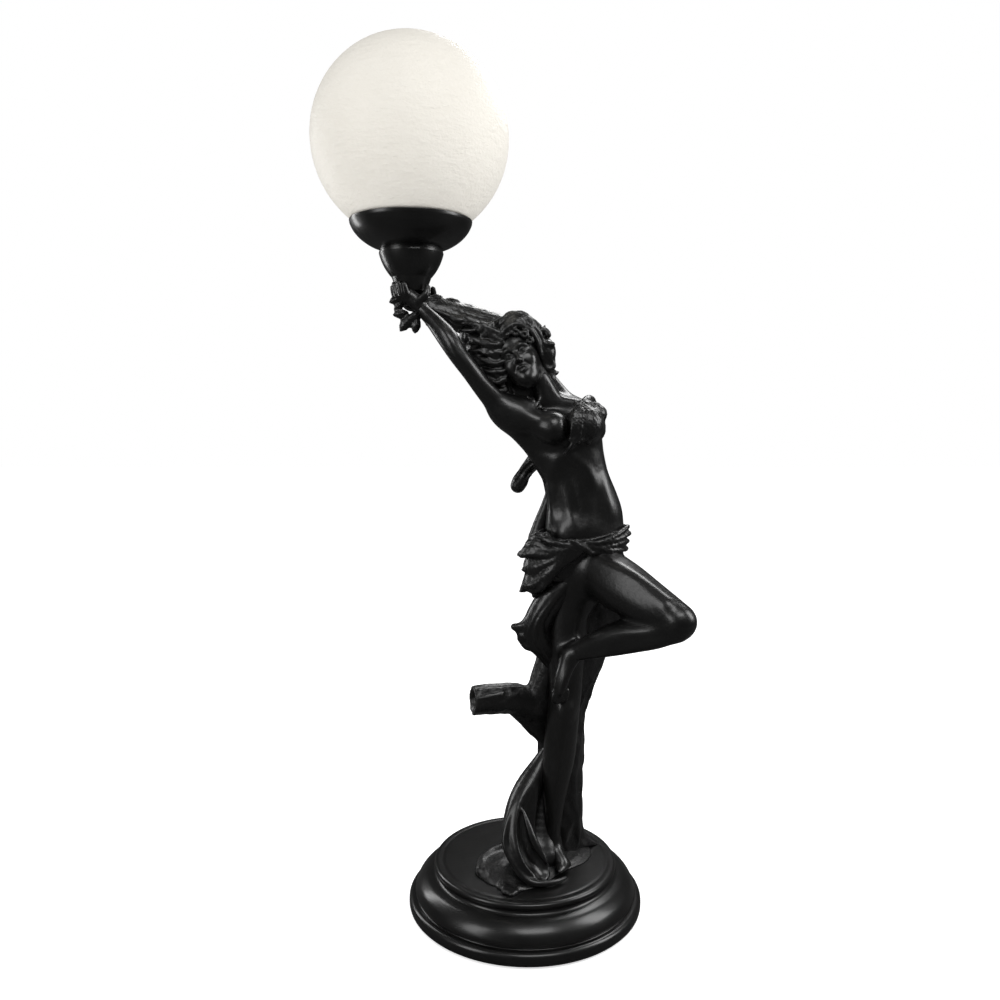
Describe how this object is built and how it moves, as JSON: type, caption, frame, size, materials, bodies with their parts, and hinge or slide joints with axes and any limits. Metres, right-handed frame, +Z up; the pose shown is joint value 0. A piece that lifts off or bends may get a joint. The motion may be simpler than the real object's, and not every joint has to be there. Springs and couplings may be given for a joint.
{
  "type": "figural table lamp",
  "caption": "Table lamp with a cast standing figure on a round turned plinth that holds up a cup, a bowl and a crackled glass globe.",
  "frame": {"origin": "centre of the pad's underside, on the plinth's axis", "axes": "+Z up through the plinth's axis; -Y is the front that the figure faces; the globe is held out over -X"},
  "size_m": [0.2859, 0.1902, 0.6813],
  "materials": {
    "black_lacquered_casting": "black lacquer on cast resin, satin to gloss",
    "black_metal": "gloss black lacquer on turned and spun metal",
    "pad_felt": "black felt",
    "grommet_rubber": "black moulded bush",
    "zinc_steel": "zinc plated",
    "lead_sleeve": "plain sleeve",
    "brass": "plain",
    "lampholder_plastic": "moulded black",
    "lampholder_core_plastic": "pale moulding",
    "bulb_cap_metal": "rolled thread",
    "bulb_black_glass": "glossy insulator",
    "bulb_glass": "clear",
    "filament_wire": "drawn wire",
    "globe_glass": "frosted with a crackled surface"
  },
  "bodies": {
    "lamp": {"base_pad": "pad_felt", "bent_leg": "black_lacquered_casting", "cable_grommet": "grommet_rubber", "drape_tail": "black_lacquered_casting", "gallery_bowl": "black_metal", "ground_mound": "black_lacquered_casting", "hair": "black_lacquered_casting", "head": "black_lacquered_casting", "hex_nut": "zinc_steel", "hip_drape": "black_lacquered_casting", "holder_cup": "black_metal", "inner_lead": "lead_sleeve", "lampholder_cap": "lampholder_plastic", "lampholder_contact": "brass", "lampholder_core": "lampholder_core_plastic", "lampholder_screw_shell": "brass", "lampholder_skirt": "lampholder_plastic", "leaf_spray": "black_lacquered_casting", "left_arm": "black_lacquered_casting", "left_bolt_washer": "zinc_steel", "left_figure_bolt": "zinc_steel", "left_terminal_screw": "zinc_steel", "lock_washer": "zinc_steel", "lower_drape": "black_lacquered_casting", "plinth": "black_lacquered_casting", "rear_bolt_washer": "zinc_steel", "rear_figure_bolt": "zinc_steel", "right_arm": "black_lacquered_casting", "right_terminal_screw": "zinc_steel", "scarf": "black_lacquered_casting", "scarf_tail": "black_lacquered_casting", "standing_foot": "black_lacquered_casting", "standing_leg": "black_lacquered_casting", "threaded_nipple": "brass", "torso": "black_lacquered_casting", "tree_trunk": "black_lacquered_casting", "wiring_tube": "zinc_steel"},
    "globe": {"glass_globe": "globe_glass"},
    "bulb_carrier": {"bulb_contact_tip": "bulb_cap_metal"},
    "bulb": {"bulb_glass": "bulb_glass", "bulb_cap": "bulb_cap_metal", "bulb_insulator": "bulb_black_glass", "bulb_stem": "bulb_glass", "bulb_filament": "filament_wire"}
  },
  "joints": [
    {"name": "globe_lift", "type": "slide", "parent": "lamp", "child": "globe", "axis": [0, 0, 1], "range_m": [0, 0.11]},
    {"name": "bulb_rise", "type": "slide", "parent": "lamp", "child": "bulb_carrier", "axis": [0, 0, 1], "range_m": [0, 0.017]},
    {"name": "bulb_turn", "type": "hinge", "parent": "bulb_carrier", "child": "bulb", "pos_m": [-0.0885, 0, 0.56], "axis": [0, 0, 1], "range_deg": [0, 2160]}
  ],
  "couplings": [
    {"joint": "bulb_rise", "follows": "bulb_turn", "m_per_rad": 0.00044882}
  ]
}
